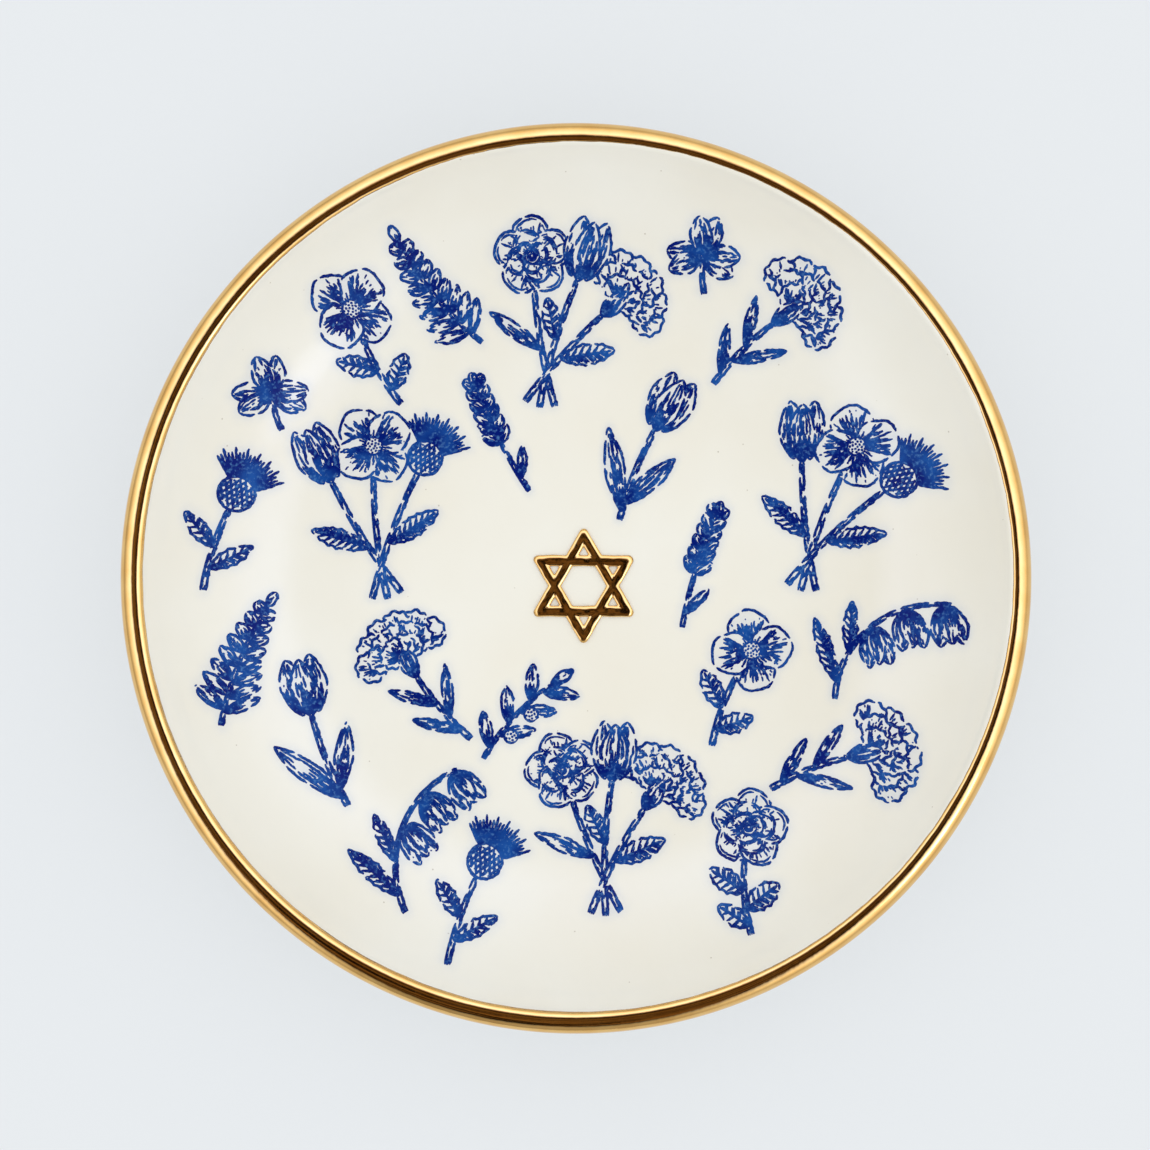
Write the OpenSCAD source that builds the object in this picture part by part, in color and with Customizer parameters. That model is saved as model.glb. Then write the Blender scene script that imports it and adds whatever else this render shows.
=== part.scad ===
// Round trinket dish: cast clay body with a foot ring, glaze coat, gilded lip,
// gilded star in relief on the floor, and botanical transfer prints in the well.
// Millimetres. Z is up, the foot stands on z = 0, the star points along +Y.

/* [Dish] */
// Diameter over the gilded lip
outer_d = 102; // [92:1:120]
// Height from the table to the top of the gilded lip
dish_h = 16; // [13:0.5:20]
// Diameter of the flat floor, where the wall starts to curve up
floor_d = 54; // [50:1:60]
// Thickness of the cast clay
wall_t = 2; // [1.6:0.1:3]
// How much thicker the rounded lip is than the wall, on each face
lip_swell = 0.12; // [0.08:0.02:0.3]

/* [Foot ring] */
// Diameter at the middle of the foot ring
foot_d = 46; // [36:1:48]
// Width of the foot ring
foot_w = 2.4; // [1.6:0.1:4]
// Height of the foot ring below the floor
foot_h = 1.5; // [1.2:0.1:3]
// Bevel along both lower edges of the foot ring
foot_bevel = 0.4; // [0.2:0.1:0.6]
// Height of the bare clay left round the foot
bare_h = 0.7; // [0.7:0.1:0.9]

/* [Glaze and gold] */
// Thickness of the fired glaze
glaze_t = 0.25; // [0.15:0.05:0.4]
// Thickness of the gold layer on the lip and the star
gold_t = 0.06; // [0.05:0.01:0.1]
// How far the gold band reaches in from the edge of the dish
band_in = 2.2; // [1.5:0.1:3]
// How far the gold band reaches down the outside
band_down = 2.6; // [2:0.1:4]

/* [Star] */
// Distance from the middle of the star to its full points
star_r = 6.6; // [5:0.1:7.5]
// Width of the clay bars of the star
bar_w = 0.9; // [0.8:0.05:1.4]
// Height of the upright sides of the bars, from the clay floor
bar_side = 0.5; // [0.4:0.05:0.8]
// Narrow step between the upright sides and the domed tops
bar_ledge = 0.05; // [0.03:0.01:0.1]
// Radius of the domed tops of the bars
dome_r = 0.85; // [0.8:0.05:2]
// How much of each sharp point is rounded away
point_blunt = 0.35; // [0.1:0.05:0.5]
// Place of the star on the floor, right of the middle
star_x = 0.9; // [-2:0.1:2]
// Place of the star on the floor, up from the middle
star_y = -0.9; // [-2:0.1:2]

/* [Prints] */
// Thickness of the fired print
print_t = 0.05; // [0.04:0.01:0.08]
// Clear glaze between the gold and the outermost prints
print_margin = 3.6; // [2:0.1:6]
// Length of one flower sprig, which sets the size of every motif
sprig_l = 18; // [14:0.5:18.5]
// Width of the printed stems
stem_w = 0.6; // [0.4:0.05:0.9]

/* [Hidden] */
$fn = 96;
skin_t = glaze_t + gold_t;
lip_r = wall_t / 2 + lip_swell;
lip_x = outer_d / 2 - skin_t - lip_r;
lip_z = dish_h - skin_t - lip_r;
mid_z = foot_h + wall_t / 2;
clay_z = foot_h + wall_t;
floor_r = floor_d / 2;
bend_run = lip_x - floor_r;
bend_rise = lip_z - mid_z;
bend_r = (bend_run * bend_run + bend_rise * bend_rise) / (2 * bend_rise);
bend_a = 2 * atan(bend_rise / bend_run);
bend_z = mid_z + bend_r;
field_r = outer_d / 2 - band_in - print_margin;
// The motifs are drawn with a sprig 18 long, then brought to size
motif_s = sprig_l / 18;
drawn_stem_w = stem_w / motif_s;

// Each print: node name, motif, place as a share of the printed field's
// radius, bearing from +X, direction of growth from +Y
PRINTS = [
    ["posy_west", "posy", 0.56, 162, 12],
    ["posy_east", "posy", 0.66, 17, -14],
    ["nosegay_south", "nosegay", 0.63, 275, 6],
    ["nosegay_north", "nosegay", 0.67, 95, -8],
    ["carnation_northeast", "carnation", 0.82, 53, -36],
    ["carnation_southeast", "carnation", 0.82, 327, -58],
    ["carnation_southwest", "carnation", 0.49, 212, 50],
    ["poppy_northwest", "poppy", 0.84, 132, 40],
    ["poppy_inner", "poppy", 0.47, 331, -10],
    ["tulip_southwest", "tulip", 0.78, 211, 30],
    ["tulip_northeast", "tulip", 0.38, 63, -14],
    ["rose_southeast", "rose", 0.81, 301, 14],
    ["bell_southwest", "bell", 0.80, 237, 28],
    ["bell_east", "bell", 0.76, 348, -2],
    ["fern_west", "fern", 0.87, 194, -8],
    ["fern_north", "fern", 0.81, 116, 52],
    ["lavender_inner", "lavender", 0.42, 118, 34],
    ["lavender_east", "lavender", 0.32, 6, -10],
    ["thistle_west", "thistle", 0.91, 171, -8],
    ["thistle_south", "thistle", 0.84, 251, -10],
    ["clover_north", "clover", 0.88, 69, 12],
    ["clover_west", "clover", 0.91, 149, 24],
    ["olive_south", "olive", 0.39, 247, -30]
];

// Half of the bent slab that the wall is cast as, thickened by a skin on both faces
module wall_section(skin) {
    half = wall_t / 2 + skin;
    far = 3 * (bend_r + half);
    translate([0, mid_z - half]) square([floor_r, 2 * half]);
    translate([floor_r, bend_z]) intersection() {
        difference() {
            circle(bend_r + half);
            circle(bend_r - half);
        }
        polygon(concat([[0, 0]], [for (a = [0, bend_a / 2, bend_a]) far * [sin(a), -cos(a)]]));
    }
    translate([lip_x, lip_z]) circle(lip_r + skin);
}

// Foot ring, with bevelled lower edges on the bare clay
module foot_section(skin) {
    in_x = foot_d / 2 - foot_w / 2 - skin;
    out_x = foot_d / 2 + foot_w / 2 + skin;
    polygon([
        [in_x, foot_bevel], [in_x + foot_bevel, 0], [out_x - foot_bevel, 0], [out_x, foot_bevel],
        [out_x, mid_z], [in_x, mid_z]
    ]);
}

// Skin of glaze over wall and foot, left off the foot below the bare edge
module glaze_section() {
    difference() {
        union() {
            wall_section(glaze_t);
            foot_section(glaze_t);
        }
        wall_section(0);
        foot_section(0);
        translate([0, -1]) square([outer_d, bare_h + 1]);
    }
}

// Thin layer on the inner face of the glaze, floor and wall
module film_section() {
    face = wall_t / 2 + glaze_t;
    far = 3 * bend_r;
    translate([0, mid_z + face]) square([floor_r, print_t]);
    translate([floor_r, bend_z]) intersection() {
        difference() {
            circle(bend_r - face);
            circle(bend_r - face - print_t);
        }
        polygon(concat([[0, 0]], [for (a = [0, bend_a / 2, bend_a]) far * [sin(a), -cos(a)]]));
    }
}

// One of the two triangles of the star, as a flat frame
module triangle_plan(skin) {
    difference() {
        rotate(90) circle(star_r + 2 * skin, $fn = 3);
        rotate(90) circle(star_r - 2 * bar_w - 4 * bar_ledge - 2 * skin, $fn = 3);
    }
}

// The same triangle from z = low up: upright sides, then domed tops
module triangle_solid(skin, low) {
    top = clay_z + bar_side + skin;
    axis_y = star_r / 2 - bar_ledge - bar_w / 2;
    axis_z = clay_z + bar_side + bar_ledge - sqrt(dome_r * dome_r - bar_w * bar_w / 4);
    translate([0, 0, low]) linear_extrude(top - low) triangle_plan(skin);
    intersection() {
        for (side = [0, 120, 240]) rotate(side) translate([0, -axis_y, axis_z]) intersection() {
            rotate([0, 90, 0]) cylinder(r = dome_r + skin, h = 3 * star_r, center = true);
            cube([4 * star_r, bar_w + 2 * skin, 4 * dome_r], center = true);
        }
        translate([0, 0, top - bar_side / 2]) linear_extrude(bar_side + dome_r)
            rotate(90) circle(star_r + 2 * skin, $fn = 3);
    }
}

// Whole star: two triangles laid through each other, points blunted
module star_solid(skin, low) {
    translate([star_x, star_y, 0]) intersection() {
        for (turn = [0, 180]) rotate(turn) triangle_solid(skin, low);
        translate([0, 0, low - 1]) cylinder(r = star_r - point_blunt + skin, h = 6 * bar_w);
    }
}

// Pointed petal or leaf growing along +Y
module blade(length, width) {
    arc_r = (length * length + width * width) / (4 * width);
    intersection() {
        translate([arc_r - width / 2, length / 2]) circle(arc_r);
        translate([width / 2 - arc_r, length / 2]) circle(arc_r);
    }
}

// Stem growing along +Y and bending to the right
module stem(length, bend) {
    arc_r = length * 180 / (PI * bend);
    translate([arc_r, 0]) intersection() {
        difference() {
            circle(arc_r + drawn_stem_w / 2);
            circle(arc_r - drawn_stem_w / 2);
        }
        polygon(concat([[0, 0]], [for (a = [0, bend / 2, bend]) 2 * arc_r * [-cos(a), sin(a)]]));
    }
}

// Places something on the bending stem, at a share of its length
module on_stem(length, bend, share) {
    arc_r = length * 180 / (PI * bend);
    translate([arc_r * (1 - cos(bend * share)), arc_r * sin(bend * share)]) rotate(-bend * share) children();
}

// Tulip head: three overlapping petals in a cup
module tulip_head() {
    petal_l = 6.8;
    petal_w = 2.9;
    step = 0.9;
    translate([0, -0.5]) for (side = [-1, 0, 1])
        translate([step * side, abs(side) / 3]) rotate(-4 * side) blade(petal_l, petal_w);
}

// Poppy head seen from the front: four broad petals
module poppy_head() {
    petal_r = 2.4;
    petal_out = 2.3;
    translate([0, petal_r]) for (a = [40 : 90 : 310]) rotate(a) translate([0, petal_out]) circle(petal_r);
}

// Bell hanging down from its stalk
module bell_head() {
    bell_l = 4.6;
    bell_w = 2;
    step = 0.5;
    for (side = [-1, 0, 1]) translate([step * side, abs(side) / 4]) rotate(-9 * side) blade(bell_l, bell_w);
}

// Thistle head: round base with a fan of spikes
module thistle_head() {
    base_r = 2;
    spike_l = 5.2;
    spike_w = 1;
    translate([0, base_r]) {
        circle(base_r);
        for (a = [-48 : 12 : 48]) rotate(a) blade(spike_l, spike_w);
    }
}

// Carnation head from the side: fringed petals fanned over a narrow calyx
module carnation_head() {
    petal_r = 1.75;
    petal_out = 4.3;
    heart_r = 2.7;
    translate([0, 0.9]) {
        for (a = [-67.5 : 27 : 67.5]) rotate(a) translate([0, petal_out]) circle(petal_r);
        translate([0, heart_r]) circle(heart_r);
    }
    translate([0, -1.2]) blade(4.2, 2);
}

// Rose head from the front: five outer petals round a full heart
module rose_head() {
    petal_r = 2.1;
    petal_out = 2.3;
    heart_r = 2;
    translate([0, 3]) {
        for (a = [0 : 72 : 288]) rotate(a) translate([0, petal_out]) circle(petal_r);
        circle(heart_r);
    }
}

module tulip() {
    stem_l = 12;
    stem_a = 16;
    translate([-0.6, -9]) {
        stem(stem_l, stem_a);
        on_stem(stem_l, stem_a, 0.97) tulip_head();
        on_stem(stem_l, stem_a, 0.08) rotate(24) blade(10, 2.2);
        on_stem(stem_l, stem_a, 0.16) rotate(-32) blade(8, 2);
    }
}

module poppy() {
    stem_l = 10;
    stem_a = 22;
    translate([-1.2, -9.5]) {
        stem(stem_l, stem_a);
        on_stem(stem_l, stem_a, 0.97) poppy_head();
        on_stem(stem_l, stem_a, 0.45) rotate(46) blade(5, 2.2);
        on_stem(stem_l, stem_a, 0.2) rotate(-58) blade(4.6, 2.2);
    }
}

module carnation() {
    stem_l = 11;
    stem_a = 20;
    translate([-1, -9.5]) {
        stem(stem_l, stem_a);
        on_stem(stem_l, stem_a, 0.97) carnation_head();
        on_stem(stem_l, stem_a, 0.5) rotate(34) blade(6, 1.2);
        on_stem(stem_l, stem_a, 0.3) rotate(-38) blade(6.5, 1.2);
        on_stem(stem_l, stem_a, 0.12) rotate(30) blade(6, 1.2);
    }
}

module rose() {
    stem_l = 9;
    stem_a = 24;
    translate([-1.2, -9]) {
        stem(stem_l, stem_a);
        on_stem(stem_l, stem_a, 0.97) rose_head();
        on_stem(stem_l, stem_a, 0.5) rotate(56) blade(4.6, 2.4);
        on_stem(stem_l, stem_a, 0.3) rotate(-60) blade(4.8, 2.4);
        on_stem(stem_l, stem_a, 0.1) rotate(48) blade(4, 2);
    }
}

module bell() {
    stem_l = 19;
    stem_a = 95;
    translate([-3.4, -7]) {
        stem(stem_l, stem_a);
        for (share = [0.52, 0.74, 0.96]) on_stem(stem_l, stem_a, share)
            rotate(stem_a * share - 168) translate([0, -0.2]) bell_head();
        on_stem(stem_l, stem_a, 0.1) rotate(30) blade(8, 1.8);
        on_stem(stem_l, stem_a, 0.3) rotate(26) blade(6, 1.6);
    }
}

module fern() {
    stem_l = 15;
    stem_a = 24;
    pairs = 8;
    translate([-1.2, -7.5]) {
        stem(stem_l, stem_a);
        for (i = [1 : pairs], side = [-1, 1]) on_stem(stem_l, stem_a, i / (pairs + 1) + 0.012 * side)
            rotate(58 * side) blade(4.6 - 0.38 * i, 1.25);
        on_stem(stem_l, stem_a, 0.96) blade(2, 1);
    }
}

module lavender() {
    stem_l = 14;
    stem_a = 14;
    whorls = 6;
    translate([-0.8, -7.5]) {
        stem(stem_l, stem_a);
        for (i = [0 : whorls - 1], side = [-1, 1]) on_stem(stem_l, stem_a, 0.46 + 0.1 * i)
            rotate(42 * side) blade(2.4 - 0.12 * i, 1.2);
        on_stem(stem_l, stem_a, 0.97) blade(1.8, 1);
        on_stem(stem_l, stem_a, 0.12) rotate(-34) blade(4, 1);
    }
}

module thistle() {
    stem_l = 10;
    stem_a = 18;
    translate([-0.8, -8]) {
        stem(stem_l, stem_a);
        on_stem(stem_l, stem_a, 0.97) thistle_head();
        on_stem(stem_l, stem_a, 0.5) rotate(52) blade(5, 1.8);
        on_stem(stem_l, stem_a, 0.25) rotate(-50) blade(5.6, 1.8);
    }
}

module clover() {
    stem_l = 4.6;
    stem_a = 20;
    translate([-0.4, -4.4]) {
        stem(stem_l, stem_a);
        on_stem(stem_l, stem_a, 0.95) for (a = [-104, 0, 104], half = [-15, 15])
            rotate(a + half) blade(4.2, 2.4);
    }
}

module olive() {
    stem_l = 12;
    stem_a = 26;
    fruit_r = 0.8;
    translate([-1, -6]) {
        stem(stem_l, stem_a);
        for (i = [0 : 5]) on_stem(stem_l, stem_a, 0.12 + 0.15 * i)
            rotate(i % 2 == 0 ? 44 : -44) blade(4.4, 1.4);
        on_stem(stem_l, stem_a, 0.97) blade(3.2, 1.2);
        for (share = [0.34, 0.64]) on_stem(stem_l, stem_a, share) translate([1.2, 0]) circle(fruit_r);
    }
}

// One stem of a bunch, leaning from where the stems are held, with each child at its share of the length
module bunch_stem(lean, shares) {
    stem_l = 16;
    stem_a = 14;
    held = 4;
    rotate(lean) translate([0, -held]) {
        stem(stem_l, stem_a);
        for (i = [0 : $children - 1]) on_stem(stem_l, stem_a, shares[i]) children(i);
    }
}

module posy() {
    translate([0, -6.5]) {
        bunch_stem(1, [0.97]) poppy_head();
        bunch_stem(27, [0.97, 0.4]) {
            tulip_head();
            rotate(40) blade(7, 2.2);
        }
        bunch_stem(-25, [0.97, 0.42]) {
            thistle_head();
            rotate(-38) blade(7, 2.2);
        }
    }
}

module nosegay() {
    translate([0, -6.5]) {
        bunch_stem(-2, [0.98, 0.5]) {
            rotate(6) tulip_head();
            rotate(28) blade(5, 2);
        }
        bunch_stem(24, [0.9, 0.42]) {
            rose_head();
            rotate(44) blade(7.5, 1.6);
        }
        bunch_stem(-28, [0.9, 0.4]) {
            carnation_head();
            rotate(-40) blade(6.5, 2.4);
        }
    }
}

// One print, laid on the inside of the dish
module print_film(p) {
    color("royalblue") intersection() {
        translate([field_r * p[2] * cos(p[3]), field_r * p[2] * sin(p[3]), mid_z]) rotate(p[4])
            linear_extrude(dish_h) scale(motif_s) {
                if (p[1] == "posy") posy();
                if (p[1] == "nosegay") nosegay();
                if (p[1] == "carnation") carnation();
                if (p[1] == "rose") rose();
                if (p[1] == "tulip") tulip();
                if (p[1] == "poppy") poppy();
                if (p[1] == "bell") bell();
                if (p[1] == "fern") fern();
                if (p[1] == "lavender") lavender();
                if (p[1] == "thistle") thistle();
                if (p[1] == "clover") clover();
                if (p[1] == "olive") olive();
            }
        rotate_extrude() film_section();
    }
}

// Slip-cast clay body with the foot ring turned on it
module dish_body() {
    color("linen") rotate_extrude() {
        wall_section(0);
        foot_section(0);
    }
}

// Glaze over the well, the lip and the outside, with a pocket round the star
module glaze_coat() {
    color("white") difference() {
        rotate_extrude() difference() {
            glaze_section();
            square([foot_d / 2, mid_z]);
        }
        star_solid(0, clay_z);
    }
}

// Glaze in the recess inside the foot ring
module recess_glaze() {
    color("white") rotate_extrude() intersection() {
        glaze_section();
        square([foot_d / 2, mid_z]);
    }
}

// Gold band painted over the lip
module rim_gilding() {
    color("goldenrod") rotate_extrude() intersection() {
        difference() {
            wall_section(skin_t);
            wall_section(glaze_t);
        }
        translate([outer_d / 2 - band_in, dish_h - band_down]) square([2 * band_in, 2 * band_down]);
    }
}

// Pressed clay star luted to the floor
module star_relief() {
    color("linen") star_solid(0, clay_z);
}

// Gold painted over the part of the star that stands above the glaze
module star_gilding() {
    color("goldenrod") difference() {
        star_solid(gold_t, clay_z + glaze_t);
        star_solid(0, clay_z);
    }
}

dish_body();
glaze_coat();
recess_glaze();
rim_gilding();
star_relief();
star_gilding();
for (p = PRINTS) print_film(p);
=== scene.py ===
# Trinket dish: cast porcelain with a foot ring, a gilded star in relief, blue transfer
# prints in the well and a gilded lip, seen from straight above on a pale table.
import math
import random

import bmesh
import bpy
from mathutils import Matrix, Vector, noise


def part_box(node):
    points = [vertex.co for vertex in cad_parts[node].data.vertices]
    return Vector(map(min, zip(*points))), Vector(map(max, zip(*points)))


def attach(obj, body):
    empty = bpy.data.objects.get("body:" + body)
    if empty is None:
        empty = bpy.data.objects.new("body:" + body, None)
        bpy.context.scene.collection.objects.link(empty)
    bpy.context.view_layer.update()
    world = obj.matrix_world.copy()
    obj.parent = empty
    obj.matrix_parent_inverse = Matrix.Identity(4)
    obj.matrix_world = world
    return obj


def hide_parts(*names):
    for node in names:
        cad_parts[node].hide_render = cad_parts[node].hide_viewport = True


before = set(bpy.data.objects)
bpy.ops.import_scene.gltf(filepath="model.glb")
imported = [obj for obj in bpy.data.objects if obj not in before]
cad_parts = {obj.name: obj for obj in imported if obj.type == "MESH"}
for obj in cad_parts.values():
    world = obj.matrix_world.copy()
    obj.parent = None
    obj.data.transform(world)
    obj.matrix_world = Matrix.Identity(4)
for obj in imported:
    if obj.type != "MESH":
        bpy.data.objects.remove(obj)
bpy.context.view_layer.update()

# Clay body
# Slip-cast porcelain clay: one even wall bent up from a flat floor into a rounded lip, with
# a foot ring turned on the underside. After glazing only the dry edge of the foot shows.
MM = 0.001


def add_node(tree, kind, feeds=None, **options):
    """Adds a node to a tree, feeds its inputs with sockets or values, and returns its outputs."""
    node = tree.nodes.new(kind)
    for option, value in options.items():
        setattr(node, option, value)
    for socket, value in (feeds or {}).items():
        if isinstance(value, bpy.types.NodeSocket):
            tree.links.new(value, node.inputs[socket])
        else:
            node.inputs[socket].default_value = value
    return node.outputs


def calc(tree, operation, first, second=0.0):
    """One step of arithmetic in a tree."""
    return add_node(tree, "ShaderNodeMath", {0: first, 1: second}, operation=operation)[0]


def blend_colours(tree, share, first, second):
    """Mixes two colours by a share, all of them sockets or values."""
    feeds = {0: share, 6: first, 7: second}
    return add_node(tree, "ShaderNodeMix", feeds, data_type="RGBA", clamp_factor=True)[2]


def grade(tree, value, low, high, to_low=0.0, to_high=1.0):
    """Stretches a value from one range to another, without going past its ends."""
    feeds = {"Value": value, "From Min": low, "From Max": high, "To Min": to_low, "To Max": to_high}
    return add_node(tree, "ShaderNodeMapRange", feeds)[0]


def cloud(tree, place, per_metre, detail=2.0, roughness=0.5):
    """Soft noise at a place, with so many lumps to the metre."""
    feeds = {"Vector": place, "Scale": per_metre, "Detail": detail, "Roughness": roughness}
    return add_node(tree, "ShaderNodeTexNoise", feeds)[0]


def new_finish(name):
    """A material with its shader and a socket that gives the place on the piece."""
    finish = bpy.data.materials.new(name)
    finish.use_nodes = True
    tree = finish.node_tree
    place = add_node(tree, "ShaderNodeTexCoord")["Object"]
    return finish, tree, tree.nodes["Principled BSDF"], place


def roughen(tree, shader, height, depth):
    """Bump from a height, as deep as the given length."""
    feeds = {"Height": height, "Distance": depth, "Strength": 1.0}
    tree.links.new(add_node(tree, "ShaderNodeBump", feeds)[0], shader.inputs["Normal"])


bisque, tree, shader, place = new_finish("bisque_clay")
clay_light = (0.79, 0.74, 0.64, 1)
clay_dark = (0.62, 0.55, 0.45, 1)
clay_roughness = 0.86
grit_depth = 0.03 * MM
mottle = grade(tree, cloud(tree, place, 260, 4), 0.35, 0.75)
grit = cloud(tree, place, 5200, 3)
tree.links.new(blend_colours(tree, mottle, clay_light, clay_dark), shader.inputs["Base Color"])
shader.inputs["Roughness"].default_value = clay_roughness
roughen(tree, shader, grit, grit_depth)
clay_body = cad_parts["dish_body"]
clay_body.data.materials.clear()
clay_body.data.materials.append(bisque)

# Star in relief
# A six-pointed star pressed in a mould from the same clay and luted to the floor while both
# were damp. Slip and a sponge leave its bars with round backs that run into each other, and
# fingers leave shallow dents. Its sizes are in millimetres.
floor_level = 3.75
join_gap = 0.0005
star_grain = 0.05
star_growth = 1.045
ridge_reach = 5.6
ridge_height = 0.25
ridge_half = 0.62
ridge_fullness = 3.6
slip_coat = 0.14
sponge_passes = 10
sponge_rub = 0.5
sponge_swell = 0.06
finger_marks = 0.075
finger_spread = 1.8
finger_shift = 0.06
finger_seed = 7


def merged_copy(node):
    """A copy of a CAD node's mesh in millimetres, with its loose triangles joined up."""
    shape = bmesh.new()
    shape.from_mesh(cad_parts[node].data)
    bmesh.ops.scale(shape, vec=(1 / MM, 1 / MM, 1 / MM), verts=shape.verts)
    bmesh.ops.remove_doubles(shape, verts=shape.verts, dist=join_gap)
    mesh = bpy.data.meshes.new(node + "_copy")
    shape.to_mesh(mesh)
    shape.free()
    return mesh


def worked_mesh(piece):
    """The piece's mesh after its modifiers, which are then taken off."""
    bpy.context.view_layer.update()
    done = piece.evaluated_get(bpy.context.evaluated_depsgraph_get())
    mesh = bpy.data.meshes.new_from_object(done)
    piece.modifiers.clear()
    return mesh


def new_piece(name, mesh):
    """A new object in the scene, at the origin."""
    piece = bpy.data.objects.new(name, mesh)
    bpy.context.scene.collection.objects.link(piece)
    return piece


def spun(point, turn):
    """A point turned about the origin, in degrees."""
    c = math.cos(math.radians(turn))
    s = math.sin(math.radians(turn))
    return (point[0] * c - point[1] * s, point[0] * s + point[1] * c)


star_low, star_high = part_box("star_relief")
star_middle = (Vector(star_low) + Vector(star_high)) / (2 * MM)
ridges = []
for first in (90, 270):
    ends = [Vector(spun((ridge_reach, 0), first + turn)) for turn in (0, 120, 240)]
    ridges += [(start, end - start) for start, end in zip(ends, ends[1:] + ends[:1])]


def off_ridge(spot):
    """How far a place on the star lies from the nearest ridge of its bars."""
    away = []
    for start, run in ridges:
        along = min(max((spot - start).dot(run) / run.length_squared, 0), 1)
        away.append((spot - start - run * along).length)
    return min(away)


def grain(piece, step):
    """Remakes a piece's mesh in small even grains."""
    modifier = piece.modifiers.new(step, "REMESH")
    modifier.mode = "VOXEL"
    modifier.voxel_size = star_grain


def thicken(piece, step, amount):
    """Moves all faces of a piece outwards by an amount."""
    modifier = piece.modifiers.new(step, "DISPLACE")
    modifier.strength = amount
    modifier.mid_level = 0.0


star_clay = new_piece("star_clay", merged_copy("star_relief"))
grain(star_clay, "even_grain")
star_clay.data = worked_mesh(star_clay)
for corner in star_clay.data.vertices:
    fall = off_ridge((corner.co - star_middle).to_2d()) / ridge_half
    corner.co.z = min(corner.co.z, floor_level + ridge_height * (1 - fall**ridge_fullness))
thicken(star_clay, "coated", slip_coat)
grain(star_clay, "run_together")
sponged = star_clay.modifiers.new("sponged", "SMOOTH")
sponged.factor = sponge_rub
sponged.iterations = sponge_passes
thicken(star_clay, "wiped", sponge_swell - slip_coat)
star_clay.data = worked_mesh(star_clay)
noise.seed_set(finger_seed)
for corner in star_clay.data.vertices:
    dent = noise.noise(corner.co / finger_spread) + 0.5 * noise.noise(corner.co * 2 / finger_spread)
    shift = noise.noise_vector(corner.co / finger_spread) * finger_shift
    grown_x = star_middle.x + (corner.co.x - star_middle.x) * star_growth + shift.x
    grown_y = star_middle.y + (corner.co.y - star_middle.y) * star_growth + shift.y
    corner.co = Vector((grown_x, grown_y, corner.co.z + finger_marks * dent)) * MM
star_clay.data.shade_smooth()
star_clay.data.materials.clear()
star_clay.data.materials.append(bisque)
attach(star_clay, "root")
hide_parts("star_relief")

# Glaze
# A clear-white glaze poured over the whole dish but wiped from the foot. It follows the clay,
# with the top of the lip leaning in a little, pools where the foot meets the floor, and
# carries pin specks.
clay_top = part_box("dish_body")[1]
glaze_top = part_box("glaze_coat")[1]
glaze_t = glaze_top.z - clay_top.z
wall_t = 2.0 * MM
lip_swell = 0.12 * MM
swell_from = 0.82
swell_over = 0.18
lip_lean = 0.26 * MM
floor_r = 27.0 * MM
foot_h = 1.5 * MM
foot_in = 21.8 * MM
foot_out = 24.2 * MM
bare_h = 0.7 * MM
pool_r = 0.5 * MM
well_step = 0.42 * MM
outside_step = 1.1 * MM
hidden_step = 3.0 * MM
lip_facets = 14
hidden_lip_facets = 6
round_facets = 480
corner_angle = math.radians(40)
hub_r = 1.0 * MM
weld_gap = 0.001 * MM

lip_r = wall_t / 2 + lip_swell
lip_x = clay_top.x - lip_r
lip_z = clay_top.z - lip_r
mid_z = foot_h + wall_t / 2
bend_run = lip_x - floor_r
bend_rise = lip_z - mid_z
bend_r = (bend_run**2 + bend_rise**2) / (2 * bend_rise)
bend_a = 2 * math.atan2(bend_rise, bend_run)
bend_z = mid_z + bend_r


def floor_face(height, step):
    """Points of a flat face, from the middle of the dish to the edge of its floor."""
    count = round(floor_r / step)
    return [(floor_r * i / count, height) for i in range(count)]


def wall_face(skin, side, step):
    """Points of one face of the bent wall, from floor to lip; side is 1 in the well, -1 outside."""
    count = round(bend_r * bend_a / step)
    points = []
    for i in range(count + 1):
        turn = bend_a * i / count
        rise = min(max((i / count - swell_from) / swell_over, 0), 1)
        swell = lip_swell * rise * rise * (3 - 2 * rise)
        arc = bend_r - side * (wall_t / 2 + skin + swell)
        points.append((floor_r + arc * math.sin(turn), bend_z - arc * math.cos(turn)))
    return points


def lip_face(skin, count):
    """Points round the lip, from the well to the outside, without the two ends."""
    arc = lip_r + skin
    turns = [math.pi * i / count - bend_a for i in range(1, count)]
    return [(lip_x + arc * math.sin(t), lip_z + arc * math.cos(t)) for t in turns]


def leaned(points):
    """The same points with the lip leaning in towards its top."""
    crown = lip_r + glaze_t
    return [(r - lip_lean * max((z - lip_z) / crown, 0) ** 2, z) for r, z in points]


def eased(before, corner, after, reach, count=5):
    """A corner of a section, rounded off over a reach along both its sides."""
    ends = []
    for x, z in (before, after):
        share = reach / math.hypot(x - corner[0], z - corner[1])
        ends.append((corner[0] + (x - corner[0]) * share, corner[1] + (z - corner[1]) * share))
    pulls = (ends[0], corner, ends[1])
    curve = []
    for i in range(count + 1):
        t = i / count
        weights = ((1 - t) ** 2, 2 * t * (1 - t), t * t)
        x, z = [sum(w * p[k] for w, p in zip(weights, pulls)) for k in (0, 1)]
        curve.append((x, z))
    return curve


def new_tree(name, inputs):
    """A Geometry Nodes tree with a geometry socket and named inputs: the tree and its inputs."""
    tree = bpy.data.node_groups.new(name, "GeometryNodeTree")
    tree.interface.new_socket("Geometry", in_out="INPUT", socket_type="NodeSocketGeometry")
    for label, kind in inputs.items():
        tree.interface.new_socket(label, in_out="INPUT", socket_type="NodeSocket" + kind)
    tree.interface.new_socket("Geometry", in_out="OUTPUT", socket_type="NodeSocketGeometry")
    return tree, tree.nodes.new("NodeGroupInput").outputs


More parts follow.
